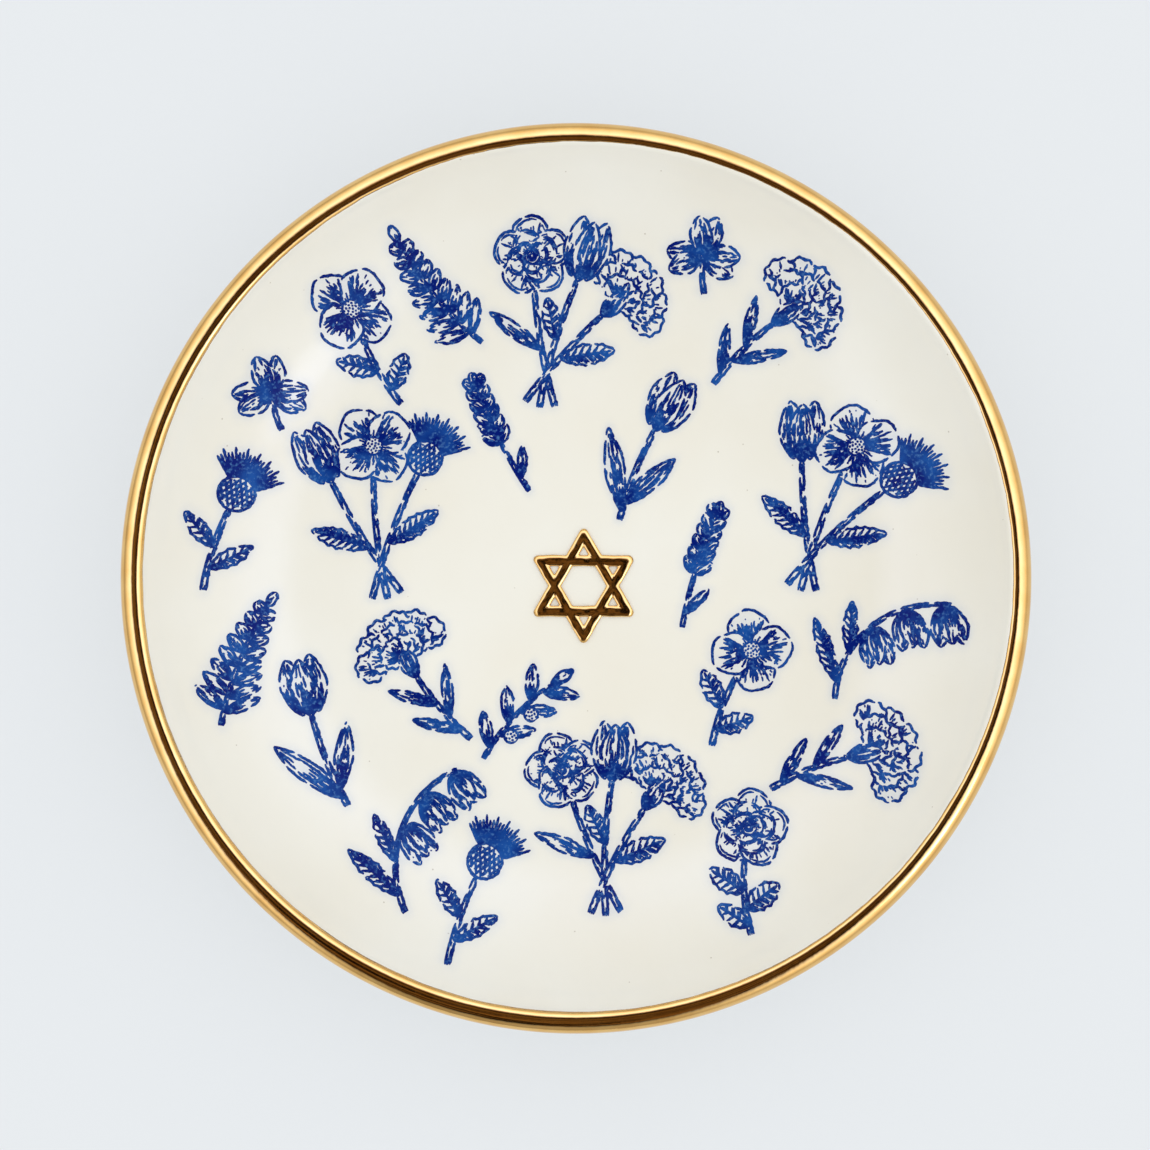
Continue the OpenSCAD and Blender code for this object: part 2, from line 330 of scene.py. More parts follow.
def close_tree(tree, geometry, finish, smooth):
    """Ends a tree: shading, plain geometry, material."""
    shaded = add_node(tree, "GeometryNodeSetShadeSmooth", {0: geometry, 2: smooth})[0]
    plain = add_node(tree, "GeometryNodeRealizeInstances", {0: shaded})[0]
    dressed = add_node(tree, "GeometryNodeSetMaterial", {0: plain, 2: finish})[0]
    add_node(tree, "NodeGroupOutput", {0: dressed})


def put_on(piece, tree, values):
    """Puts a tree on a piece, with its named inputs set by their identifiers."""
    modifier = piece.modifiers.new(tree.name, "NODES")
    modifier.node_group = tree
    sockets = {s.name: s.identifier for s in tree.interface.items_tree if s.in_out == "INPUT"}
    for label, value in values.items():
        modifier[sockets[label]] = value


def grown(name, mesh, tree, values):
    """A new piece: the mesh after the tree has worked on it, as a plain mesh."""
    piece = bpy.data.objects.new(name, mesh)
    put_on(piece, tree, values)
    bpy.context.scene.collection.objects.link(piece)
    piece.data = worked_mesh(piece)
    return piece


def face_outward(mesh):
    """Turns all faces of a closed mesh outwards."""
    shape = bmesh.new()
    shape.from_mesh(mesh)
    bmesh.ops.recalc_face_normals(shape, faces=shape.faces)
    shape.to_mesh(mesh)
    shape.free()


def swept_round(tree, given):
    """Sweeps the section that comes into a tree round the dish's axis."""
    section = add_node(tree, "GeometryNodeMeshToCurve", {0: given["Geometry"]})[0]
    hub = {"Resolution": given["Facets"], "Radius": given["Hub"]}
    path = add_node(tree, "GeometryNodeCurvePrimitiveCircle", hub)[0]
    upright = add_node(tree, "GeometryNodeSetCurveNormal", {0: path}, mode="Z_UP")[0]
    return add_node(tree, "GeometryNodeCurveToMesh", {0: upright, 1: section})[0]


# The tree that turns: a section swept round the axis, and welded where it meets itself
wheel, given = new_tree("turned_on_a_wheel", {"Facets": "Int", "Hub": "Float", "Finish": "Material"})
swept = swept_round(wheel, given)
closed = add_node(wheel, "GeometryNodeMergeByDistance", {0: swept, "Distance": weld_gap})[0]
close_tree(wheel, closed, given["Finish"], True)


def section_mesh(name, points, ring=False):
    """A section for the wheel: points (radius, height) joined in a line, or in a ring."""
    mesh = bpy.data.meshes.new(name)
    edges = [(i, i + 1) for i in range(len(points) - 1)]
    if ring:
        edges.append((len(points) - 1, 0))
    mesh.from_pydata([(r - hub_r, -z, 0) for r, z in points], edges, [])
    return mesh


def turned(name, points, finish):
    """Turns a section round the dish's axis, with sharp edges kept where it has corners."""
    values = {"Facets": round_facets, "Hub": hub_r, "Finish": finish}
    piece = grown(name, section_mesh(name, points), wheel, values)
    face_outward(piece.data)
    piece.data.set_sharp_from_angle(angle=corner_angle)
    return piece


glaze, tree, shader, place = new_finish("white_glaze")
glaze_cool = (0.800, 0.790, 0.720, 1)
glaze_warm = (0.775, 0.750, 0.658, 1)
bleed_blue = (0.235, 0.365, 0.660, 1)
speck_brown = (0.33, 0.27, 0.20, 1)
glaze_gloss = 0.3
glaze_ripple = 0.02 * MM
drift = grade(tree, cloud(tree, place, 45, 3), 0.35, 0.7)
milky = blend_colours(tree, drift, glaze_cool, glaze_warm)
pinholes = {"Vector": place, "Scale": 330.0}
nearest = add_node(tree, "ShaderNodeTexVoronoi", pinholes)["Distance"]
specks = grade(tree, nearest, 0.024, 0.040, 0.55, 0.0)
specked = blend_colours(tree, specks, milky, speck_brown)
bleed = add_node(tree, "ShaderNodeAttribute", attribute_name="bleed")["Fac"]
uneven = grade(tree, cloud(tree, place, 700, 3), 0.3, 0.7, 0.16, 0.34)
tinted = blend_colours(tree, calc(tree, "MULTIPLY", bleed, uneven), specked, bleed_blue)
tree.links.new(tinted, shader.inputs["Base Color"])
dulled = grade(tree, cloud(tree, place, 120, 2), 0.3, 0.7, 0.06, 0.13)
tree.links.new(dulled, shader.inputs["Roughness"])
shader.inputs["Specular IOR Level"].default_value = glaze_gloss
roughen(tree, shader, cloud(tree, place, 420, 1.5), glaze_ripple)

well_z = mid_z + wall_t / 2 + glaze_t
under_z = foot_h - glaze_t
foot_foot = (foot_out + glaze_t, bare_h)
foot_root = (foot_out + glaze_t, under_z)
coat = floor_face(well_z, well_step)
coat += leaned(wall_face(glaze_t, 1, well_step))
coat += leaned(lip_face(glaze_t, lip_facets))
coat += wall_face(glaze_t, -1, outside_step)[::-1]
coat += eased((floor_r, under_z), foot_root, foot_foot, pool_r)
coat += [foot_foot, (foot_out, bare_h), (foot_out, foot_h)]
coat += wall_face(0, -1, hidden_step)
coat += lip_face(0, hidden_lip_facets)
coat += wall_face(0, 1, hidden_step)[::-1]
coat += floor_face(well_z - glaze_t, hidden_step)[::-1]
glaze_shell = turned("glaze_shell", coat, glaze)
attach(glaze_shell, "root")
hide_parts("glaze_coat")

recess_foot = (foot_in - glaze_t, bare_h)
recess_root = (foot_in - glaze_t, under_z)
recess = [(0, under_z), (foot_in / 2, under_z)]
recess += eased((0, under_z), recess_root, recess_foot, pool_r)
recess += [recess_foot, (foot_in, bare_h), (foot_in, foot_h), (foot_in / 2, foot_h), (0, foot_h)]
recess_shell = turned("recess_shell", recess, glaze)
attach(recess_shell, "root")
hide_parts("recess_glaze")

# Transfer prints
# Twenty-three sprigs of garden flowers, engraved line by line, pulled on tissue in cobalt
# and laid in the well. Firing fuses each line to the glaze and lets its blue bleed a little.
# Plates are in millimetres; a sprig has its motif, share of the field's radius, bearing and turn.
field_r = 45.2
line_w = 0.40
line_step = 0.17
line_tip = 0.5
line_taper = 0.7
bleed_reach = 0.55 * MM
bleed_softness = 2
sprigs = {
    "posy_west": ("posy", 0.56, 162, 12),
    "posy_east": ("posy", 0.66, 17, -14),
    "nosegay_south": ("nosegay", 0.63, 275, 6),
    "nosegay_north": ("nosegay", 0.67, 95, -8),
    "carnation_northeast": ("carnation", 0.82, 53, -36),
    "carnation_southeast": ("carnation", 0.82, 327, -58),
    "carnation_southwest": ("carnation", 0.49, 212, 50),
    "poppy_northwest": ("poppy", 0.84, 132, 40),
    "poppy_inner": ("poppy", 0.47, 331, -10),
    "tulip_southwest": ("tulip", 0.78, 211, 30),
    "tulip_northeast": ("tulip", 0.38, 63, -14),
    "rose_southeast": ("rose", 0.81, 301, 14),
    "bell_southwest": ("bell", 0.80, 237, 28),
    "bell_east": ("bell", 0.76, 348, -2),
    "fern_west": ("fern", 0.87, 194, -8),
    "fern_north": ("fern", 0.81, 116, 52),
    "lavender_inner": ("lavender", 0.42, 118, 34),
    "lavender_east": ("lavender", 0.32, 6, -10),
    "thistle_west": ("thistle", 0.91, 171, -8),
    "thistle_south": ("thistle", 0.84, 251, -10),
    "clover_north": ("clover", 0.88, 69, 12),
    "clover_west": ("clover", 0.91, 149, 24),
    "olive_south": ("olive", 0.39, 247, -30),
}


def short_steps(points):
    """The points of a line, with more set between them a graver's short step apart."""
    fine = [points[0]]
    for (ax, ay), (bx, by) in zip(points, points[1:]):
        count = max(1, round(math.dist((ax, ay), (bx, by)) / line_step))
        fine += [(ax + (bx - ax) * i / count, ay + (by - ay) * i / count) for i in range(1, count + 1)]
    return fine


class Plate:
    """An engraved plate: its lines, and the place and direction of the graver."""

    def __init__(self, x, y, turn, seed):
        self.hand = random.Random(seed)
        self.lines = []
        self.places = [(x, y, turn)]

    def at(self, point):
        x, y, turn = self.places[-1]
        dx, dy = spun(point, turn)
        return (x + dx, y + dy)

    def go(self, x, y, turn=0.0):
        px, py = self.at((x, y))
        self.places.append((px, py, self.places[-1][2] + turn))

    def back(self, steps=1):
        del self.places[-steps:]

    def line(self, points, width=line_w):
        """Cuts a line in short steps, so that a shape in front can break it."""
        self.lines.append((short_steps([self.at(p) for p in points]), width))

    def lifted(self, points, width, gap, run):
        """Cuts a line with the graver lifted now and then."""
        fine = short_steps(points)
        stretch = [fine[0]]
        up = False
        left = self.hand.uniform(0.5, 1.2) * run
        for a, b in zip(fine, fine[1:]):
            left -= math.dist(a, b)
            if left < 0:
                if len(stretch) > 1:
                    self.line(stretch, width)
                up = not up
                left = (gap if up else run) * self.hand.uniform(0.6, 1.4)
                stretch = []
            if not up:
                stretch.append(b)
        if len(stretch) > 1:
            self.line(stretch, width)

    def clear(self, outline):
        """Wipes out what lies behind a shape."""
        shape = [self.at(p) for p in outline]
        xs = [p[0] for p in shape]
        ys = [p[1] for p in shape]
        box = (min(xs), max(xs), min(ys), max(ys))
        sides = list(zip(shape, shape[1:] + shape[:1]))

        def hidden(p):
            if not (box[0] < p[0] < box[1] and box[2] < p[1] < box[3]):
                return False
            crossings = 0
            for (ax, ay), (bx, by) in sides:
                if (ay > p[1]) != (by > p[1]) and p[0] < (bx - ax) * (p[1] - ay) / (by - ay) + ax:
                    crossings += 1
            return crossings % 2 == 1

        kept = []
        for points, width in self.lines:
            run = []
            for p in points + [None]:
                if p is None or hidden(p):
                    if len(run) > 1:
                        kept.append((run, width))
                    run = []
                else:
                    run.append(p)
        self.lines = kept


def half_width(share, length, width):
    """Half the width of a pointed blade at a share of its length."""
    arc = (length * length + width * width) / (4 * width)
    along = (share - 0.5) * length
    return math.sqrt(max(arc * arc - along * along, 0)) - (arc - width / 2)


def blade(plate, length, width, veins, shade=0.5):
    """Pointed petal or leaf: two edges, long veins, short hatching at its root and tip."""
    hand = plate.hand
    count = 14
    edges = []
    for side in (-1, 1):
        wave = hand.uniform(0, 6)
        edge = []
        for i in range(count + 1):
            t = i / count
            ripple = 1 + 0.05 * math.sin(11 * t + wave)
            edge.append((side * half_width(t, length, width) * ripple, t * length))
        edges.append(edge)
    plate.clear(edges[0] + edges[1][::-1])
    for edge in edges:
        plate.lifted(edge, line_w, 0.14, 4.0)

    def vein(across, start, end, weight, gap, run):
        stops = [start + (end - start) * i / 6 for i in range(7)]
        points = [(across * half_width(t, length, width), t * length) for t in stops]
        plate.lifted(points, weight, gap, run)

    for k in range(veins):
        across = -0.72 + 1.44 * (k + 0.5) / veins + hand.uniform(-0.06, 0.06)
        near = hand.uniform(0.03, 0.1)
        far = hand.uniform(0.5, 0.9) * (1 - 0.3 * abs(across))
        vein(across, near, far, line_w * 0.85, 0.26, 2.2)
        for _ in range(2):
            across = hand.uniform(-0.8, 0.8)
            vein(across, 0.04, shade * hand.uniform(0.4, 1.0), line_w * 0.9, 0.2, 3.0)
        tip = hand.uniform(0.6, 0.78)
        vein(hand.uniform(-0.65, 0.65), tip, 0.92, line_w * 0.75, 0.2, 3.0)


def leaf(plate, length, width, pairs):
    """Toothed leaf with a midrib, side veins and one half in shade."""
    count = 3 * pairs
    edges = []
    for side in (-1, 1):
        edge = []
        for i in range(count + 1):
            tooth = 1.09 if i % 3 == 2 else 0.92
            edge.append((side * half_width(i / count, length, width) * tooth, i / count * length))
        edges.append(edge)
    plate.clear(edges[0] + edges[1][::-1])
    for edge in edges:
        plate.lifted(edge, line_w, 0.14, 4.5)
    plate.line([(0, 0), (0.05, length * 0.5), (0, length * 0.94)], line_w * 1.05)
    for k in range(pairs):
        t = 0.08 + 0.76 * k / pairs
        for side in (-1, 1):
            h = half_width(t + 0.14, length, width)
            stops = ((0, 0), (0.5, 0.08), (0.9, 0.14))
            plate.line([(side * h * x, (t + y) * length) for x, y in stops], line_w * 0.8)
        h = half_width(t + 0.1, length, width)
        for dy in (0.03, 0.065, 0.10):
            hatch = [(0.12 * h, (t + dy) * length), (0.78 * h, (t + dy + 0.085) * length)]
            plate.line(hatch, line_w * 0.8)
        hatch = [(-0.1 * h, (t + 0.05) * length), (-0.5 * h, (t + 0.11) * length)]
        plate.line(hatch, line_w * 0.8)


def round_petal(plate, radius, out, veins, frills, depth, curled=False):
    """Round petal whose middle lies out from the flower's: frilled edge, veins from its root."""
    hand = plate.hand
    count = 44
    wave = hand.uniform(0, 6)
    edge = []
    for i in range(count + 1):
        turn = math.radians(360 * i / count - 90)
        swell = radius * (1 + (depth * math.sin(turn * frills + wave) if 0 < i < count else 0))
        edge.append((swell * math.cos(turn), out + swell * math.sin(turn)))
    plate.clear(edge)
    plate.lifted(edge, line_w, 0.14, 4.0)
    if curled:
        inner = edge[count // 6: count - count // 6]
        plate.lifted([(x * 0.82, out + (y - out) * 0.82) for x, y in inner], line_w * 0.8, 0.4, 2.6)
    for k in range(veins):
        across = (k + 0.5) / veins * 2 - 1 + hand.uniform(-0.05, 0.05)
        top = out + radius * hand.uniform(0.05, 0.88) * (1 - 0.5 * across * across)
        low = out - radius * (0.92 - 0.4 * across * across)
        stops = [i / 6 for i in range(7)]
        points = [(across * radius * 0.85 * (0.25 + 0.75 * s), low + (top - low) * s) for s in stops]
        plate.lifted(points, line_w * 0.85, 0.26, 1.7)
        shade = low + radius * hand.uniform(0.6, 1.25)
        between = across + hand.uniform(0.3, 0.7) / veins
        points = [(between * radius * 0.85 * (0.25 + 0.75 * s), low + (shade - low) * s) for s in stops]
        plate.lifted(points, line_w * 1.1, 0.2, 2.5)


def ring_of(radius, step=18):
    """Points of a closed ring."""
    return [spun((radius, 0), a) for a in range(0, 361, step)]


def stippled(plate, radius, dots):
    """Round heart filled with short dashes, set out like seeds."""
    plate.clear(ring_of(radius)[:-1])
    plate.line(ring_of(radius), line_w * 0.85)
    for k in range(dots):
        turn = k * 137.508
        x, y = spun((radius * 0.92 * math.sqrt((k + 0.5) / dots), 0), turn)
        dx, dy = spun((0.14, 0), turn + 90 + plate.hand.uniform(-30, 30))
        plate.line([(x - dx, y - dy), (x + dx, y + dy)], line_w * 1.15)


def up_stem(plate, length, bend, share):
    """Moves the graver up a stem that bends to the right."""
    arc = length * 180 / (math.pi * bend)
    turn = math.radians(bend * share)
    plate.go(arc * (1 - math.cos(turn)), arc * math.sin(turn), -bend * share)


def stem(plate, length, bend, width=0.5):
    """Bent stem: two edges and a broken line of shade between them."""
    arc = length * 180 / (math.pi * bend)
    count = max(8, round(length))
    edges = []
    for side in (-1, 1, 0.3, -0.3):
        edge = []
        for i in range(count + 1):
            turn = math.radians(bend * i / count)
            reach = arc - side * width / 2 * (1.15 - 0.35 * i / count)
            edge.append((arc - reach * math.cos(turn), reach * math.sin(turn)))
        edges.append(edge)
    plate.clear(edges[0] + edges[1][::-1])
    plate.lifted(edges[0], line_w, 0.2, 5)
    plate.lifted(edges[1], line_w, 0.2, 5)
    plate.lifted(edges[2], line_w * 0.75, 0.6, 1.4)
    plate.lifted(edges[3], line_w * 0.75, 0.9, 0.8)


def tulip_head(plate):
    plate.go(0, -0.5)
    for side in (-1, 1, 0):
        plate.go(0.9 * side, abs(side) / 3, -4 * side)
        blade(plate, 6.8, 2.9, 6, 0.75)
        plate.back()
    plate.back()


def poppy_head(plate):
    plate.go(0, 2.4)
    for turn in (0, 180, 90, 270):
        plate.go(0, 0, turn + 40)
        round_petal(plate, 2.4, 2.3, 17, 5, 0.035)
        plate.back()
    for k in range(26):
        plate.go(0, 0, k * 360 / 26)
        tip = 1.7 + 0.5 * math.sin(k * 5.0)
        plate.line([(0, 0.9), (0, tip)], line_w * 0.9)
        plate.line([(-0.1, tip), (0.1, tip + 0.05)], line_w * 1.4)
        plate.back()
    stippled(plate, 1.05, 22)
    plate.back()


def bell_head(plate):
    for side in (-1, 1, 0):
        plate.go(0.5 * side, abs(side) / 4, -9 * side)
        blade(plate, 4.6, 2.0, 4, 0.85)
        plate.back()


def thistle_head(plate):
    base = 2.0
    plate.go(0, base)
    for k in range(21):
        plate.go(0, 0, -50 + 5 * k)
        tip = 5.4 - 0.7 * abs(math.sin(k * 2.1))
        plate.line([(0, 0.6), (0.05, tip * 0.5), (0, tip)])
        plate.line([(0.14, 0.9), (0.2, tip * 0.45), (0.14, tip * 0.8)], line_w * 0.85)
        plate.back()
    plate.clear(ring_of(base)[:-1])
    plate.line(ring_of(base), line_w * 1.1)
    for slant in (-0.55, 0.55):
        for k in range(7):
            start = -1.8 + 0.6 * k
            scales = [(start + slant * y, y) for y in (-1.8 + 0.45 * i for i in range(9))]
            scales = [p for p in scales if math.hypot(*p) < base * 0.96]
            if len(scales) > 1:
                plate.line(scales, line_w * 0.95)
    for k in range(16):
        x, y = spun((base * 0.8 * math.sqrt((k + 0.5) / 16), 0), k * 137.5)
        plate.line([(x, y - 0.12), (x, y + 0.12)], line_w * 1.1)
    plate.back()


def carnation_head(plate):
    plate.go(0, 0.9)
    for count, radius, out in ((6, 1.75, 4.3), (5, 1.6, 3.1), (4, 1.4, 1.9)):
        for k in range(count):
            plate.go(0, 0, (k - (count - 1) / 2) * 27)
            round_petal(plate, radius, out, 11, 9, 0.07)
            plate.back()
    plate.back()
    plate.go(0, -1.2)
    blade(plate, 4.2, 2.0, 6, 0.9)
    plate.back()


def rose_head(plate):
    plate.go(0, 3.0)
    for count, radius, out, start in ((5, 2.1, 2.3, 0), (4, 1.6, 1.35, 20), (3, 1.15, 0.7, 50)):
        for k in range(count):
            plate.go(0, 0, start + 360 * k / count)
            round_petal(plate, radius, out, 9, 4, 0.03, curled=True)
            plate.back()
    plate.clear(ring_of(0.85)[:-1])
    plate.line(ring_of(0.85))
    plate.line([spun((0.65 - a / 1400, 0), a) for a in range(0, 800, 25)], line_w * 0.85)
    plate.back()


def along(plate, length, bend, share, turn, draw, *sizes):
    """Draws something that leaves a stem at a share of its length, at an angle."""
    up_stem(plate, length, bend, share)
    plate.go(0, 0, turn)
    draw(plate, *sizes)
    plate.back(2)


def on_stalk(plate, x, y, length, bend, head, leaves):
    """A sprig: its stem, leaves at shares of the stem, and a head at the end."""
    plate.go(x, y)
    stem(plate, length, bend)
    for growth in leaves:
        along(plate, length, bend, *growth)
    along(plate, length, bend, 0.97, 0, head)
    plate.back()


def tulip(plate):
    leaves = [(0.08, 24, blade, 10, 2.2, 5, 0.8), (0.16, -32, blade, 8, 2.0, 5, 0.8)]
    on_stalk(plate, -0.6, -9, 12, 16, tulip_head, leaves)


def poppy(plate):
    leaves = [(0.45, 46, leaf, 5, 2.2, 5), (0.2, -58, leaf, 4.6, 2.2, 5)]
    on_stalk(plate, -1.2, -9.5, 10, 22, poppy_head, leaves)


def carnation(plate):
    leaves = [(0.5, 34, blade, 6, 1.2, 3, 0.8), (0.3, -38, blade, 6.5, 1.2, 3, 0.8)]
    leaves.append((0.12, 30, blade, 6, 1.2, 3, 0.8))
    on_stalk(plate, -1.0, -9.5, 11, 20, carnation_head, leaves)


def rose(plate):
    leaves = [(0.5, 56, leaf, 4.6, 2.4, 5), (0.3, -60, leaf, 4.8, 2.4, 5), (0.1, 48, leaf, 4.0, 2.0, 4)]
    on_stalk(plate, -1.2, -9, 9, 24, rose_head, leaves)


def thistle(plate):
    leaves = [(0.5, 52, leaf, 5, 1.8, 5), (0.25, -50, leaf, 5.6, 1.8, 5)]
    on_stalk(plate, -0.8, -8, 10, 18, thistle_head, leaves)


def bell(plate):
    length, bend = 19, 95
    plate.go(-3.4, -7)
    stem(plate, length, bend, 0.4)
    along(plate, length, bend, 0.1, 30, leaf, 8, 1.8, 7)
    along(plate, length, bend, 0.3, 26, leaf, 6, 1.6, 6)
    for share in (0.52, 0.74, 0.96):
        along(plate, length, bend, share, bend * share - 168, bell_head)
    plate.back()


def fern(plate):
    length, bend = 15, 24
    pairs = 8
    plate.go(-1.2, -7.5)
    stem(plate, length, bend, 0.35)
    for i in range(1, pairs + 1):
        for side in (-1, 1):
            share = i / (pairs + 1) + 0.012 * side
            along(plate, length, bend, share, 58 * side, blade, 4.6 - 0.38 * i, 1.25, 2, 0.8)
    along(plate, length, bend, 0.96, 0, blade, 2, 1, 1, 0.6)
    plate.back()


def lavender(plate):
    length, bend = 14, 14
    plate.go(-0.8, -7.5)
    stem(plate, length, bend, 0.35)
    for i in range(6):
        for side in (-1, 1):
            along(plate, length, bend, 0.46 + 0.1 * i, 42 * side, blade, 2.4 - 0.12 * i, 1.2, 2, 0.9)
    along(plate, length, bend, 0.97, 0, blade, 1.8, 1, 2, 0.9)
    along(plate, length, bend, 0.12, -34, blade, 4, 1.0, 2, 0.8)
    plate.back()


def clover(plate):
    length, bend = 4.6, 20
    plate.go(-0.4, -4.4)
    stem(plate, length, bend, 0.4)
    for turn in (-104, 104, 0):
        for half in (-15, 15):
            along(plate, length, bend, 0.95, turn + half, blade, 4.2, 2.4, 5, 0.8)
    plate.back()


def olive(plate):
    length, bend = 12, 26
    plate.go(-1, -6)
    stem(plate, length, bend, 0.35)
    for i in range(6):
        turn = 44 if i % 2 == 0 else -44
        along(plate, length, bend, 0.12 + 0.15 * i, turn, blade, 4.4, 1.4, 3, 0.8)
    along(plate, length, bend, 0.97, 0, blade, 3.2, 1.2, 3, 0.8)
    for share in (0.34, 0.64):
        up_stem(plate, length, bend, share)
        plate.go(1.2, 0)
        stippled(plate, 0.8, 12)
        plate.back(2)
    plate.back()


def bunch(plate, leans, growth):
    """Three stems that cross where they are held, then leaves and heads on them, back to front."""
    length, bend = 16, 14
    below_hold = 4
    plate.go(0, -6.5)
    for lean in leans:
        plate.go(0, 0, lean)
        plate.go(0, -below_hold)
        stem(plate, length, bend)
        plate.back(2)
    for lean, share, turn, draw, *sizes in growth:
        plate.go(0, 0, lean)
        plate.go(0, -below_hold)
        along(plate, length, bend, share, turn, draw, *sizes)
        plate.back(2)
    plate.back()


def posy(plate):
    growth = [(27, 0.4, 40, leaf, 7, 2.2, 7), (-25, 0.42, -38, leaf, 7, 2.2, 7)]
    growth += [(27, 0.97, 0, tulip_head), (-25, 0.97, 0, thistle_head), (1, 0.97, 0, poppy_head)]
    bunch(plate, (27, 1, -25), growth)


def nosegay(plate):
    growth = [(24, 0.42, 44, blade, 7.5, 1.6, 4), (-28, 0.4, -40, leaf, 6.5, 2.4, 6)]
    growth += [(-2, 0.5, 28, leaf, 5, 2.0, 5)]
    growth += [(24, 0.9, 0, rose_head), (-28, 0.9, 0, carnation_head), (-2, 0.98, 6, tulip_head)]
    bunch(plate, (24, -2, -28), growth)


motifs = {
    "posy": posy, "nosegay": nosegay, "carnation": carnation, "poppy": poppy,
    "tulip": tulip, "rose": rose, "bell": bell, "fern": fern,
    "lavender": lavender, "thistle": thistle, "clover": clover, "olive": olive,
}

cobalt, tree, shader, place = new_finish("cobalt_print")
cobalt_deep = (0.0006, 0.0090, 0.1480, 1)
cobalt_mid = (0.0090, 0.0720, 0.3100, 1)
cobalt_pale = (0.0650, 0.1800, 0.4200, 1)
cobalt_gloss = 0.06
cobalt_grain = 0.004 * MM
inked = grade(tree, cloud(tree, place, 330, 3), 0.40, 0.68)
starved = grade(tree, cloud(tree, place, 2600, 3), 0.53, 0.74, 0.0, 0.85)
even_blue = blend_colours(tree, inked, cobalt_deep, cobalt_mid)
tree.links.new(blend_colours(tree, starved, even_blue, cobalt_pale), shader.inputs["Base Color"])
dulled = grade(tree, cloud(tree, place, 900, 2), 0.3, 0.7, 0.10, 0.22)
tree.links.new(dulled, shader.inputs["Roughness"])
shader.inputs["Specular IOR Level"].default_value = cobalt_gloss
roughen(tree, shader, cloud(tree, place, 3000, 2), cobalt_grain)


def vector_calc(tree, operation, first, second=(0, 0, 0)):
    """One step of vector arithmetic in a tree."""
    return add_node(tree, "ShaderNodeVectorMath", {0: first, 1: second}, operation=operation)["Vector"]


def stretched(tree, vector, factor):
    """A vector in a tree, made longer or shorter."""
    return add_node(tree, "ShaderNodeVectorMath", {0: vector, 3: factor}, operation="SCALE")["Vector"]


# The tree that prints: lines of uneven width, as flat closed ribbons, laid on the well
press, given = new_tree("printed_lines", {
    "Unevenness": "Float", "Beads": "Float", "Wobble": "Float", "Relief": "Float",
    "Floor radius": "Float", "Bend radius": "Float", "Bend height": "Float",
    "Seed": "Float", "Finish": "Material",
})
bend = given["Bend radius"]
drawn = add_node(press, "GeometryNodeMeshToCurve", {0: given["Geometry"]})[0]
shaky = {"W": given["Seed"], "Scale": given["Beads"], "Detail": 2.0}
beads, shiver = add_node(press, "ShaderNodeTexNoise", shaky, noise_dimensions="4D")
sideways = vector_calc(press, "SUBTRACT", shiver, (0.5, 0.5, 0.5))
in_plane = vector_calc(press, "MULTIPLY", sideways, (1, 1, 0))
slips = stretched(press, in_plane, given["Wobble"])
by_hand = add_node(press, "GeometryNodeSetPosition", {0: drawn, "Offset": slips})[0]
level = add_node(press, "GeometryNodeSetCurveNormal", {0: by_hand}, mode="Z_UP")[0]
width = add_node(press, "GeometryNodeInputNamedAttribute", {"Name": "line_width"}, data_type="FLOAT")[0]
swing = calc(press, "MULTIPLY", calc(press, "SUBTRACT", beads, 0.5), given["Unevenness"])
half_even = calc(press, "MULTIPLY", width, 0.5)
half_line = calc(press, "MULTIPLY", half_even, calc(press, "ADD", swing, 1.0))
profile = {"Height": given["Relief"], "Bottom Width": 1.5, "Top Width": 2.0, "Offset": 0.0}
ribbon = add_node(press, "GeometryNodeCurvePrimitiveQuadrilateral", profile, mode="TRAPEZOID")[0]
drawing = {0: level, 1: ribbon, "Scale": half_line, "Fill Caps": True}
lines = add_node(press, "GeometryNodeCurveToMesh", drawing)[0]
here = add_node(press, "GeometryNodeInputPosition")[0]
lift = add_node(press, "ShaderNodeSeparateXYZ", {0: here})["Z"]
flat = vector_calc(press, "MULTIPLY", here, (1, 1, 0))
reach = add_node(press, "ShaderNodeVectorMath", {0: flat}, operation="LENGTH")["Value"]
climb = calc(press, "MAXIMUM", calc(press, "SUBTRACT", reach, given["Floor radius"]), 0.0)
squares = calc(press, "SUBTRACT", calc(press, "POWER", bend, 2.0), calc(press, "POWER", climb, 2.0))
drop = calc(press, "SQRT", squares)
lean = calc(press, "DIVIDE", calc(press, "MULTIPLY", climb, lift), calc(press, "MULTIPLY", bend, reach))
drawn_in = stretched(press, flat, calc(press, "SUBTRACT", 1.0, lean))
standing = calc(press, "DIVIDE", calc(press, "MULTIPLY", lift, drop), bend)
height = calc(press, "ADD", calc(press, "SUBTRACT", given["Bend height"], drop), standing)
raised = add_node(press, "ShaderNodeCombineXYZ", {"Z": height})[0]
laid_at = vector_calc(press, "ADD", drawn_in, raised)
laid = add_node(press, "GeometryNodeSetPosition", {0: lines, "Position": laid_at})[0]
close_tree(press, laid, given["Finish"], False)


def line_mesh(name, lines):
    """The engraved lines as loose edges. Every point has the cut's width, less at both ends."""
    mesh = bpy.data.meshes.new(name)
    points = []
    edges = []
    widths = []
    for line, width in lines:
        first = len(points)
        points += [(x * MM, y * MM, 0) for x, y in line]
        edges += [(first + i, first + i + 1) for i in range(len(line) - 1)]
        last = len(line) - 1
        to_end = [min(i, last - i) * line_step for i in range(len(line))]
        widths += [width * MM * min(1, line_tip + run / line_taper) for run in to_end]
    mesh.from_pydata(points, edges, [])
    mesh.attributes.new("line_width", "FLOAT", "POINT").data.foreach_set("value", widths)
    return mesh


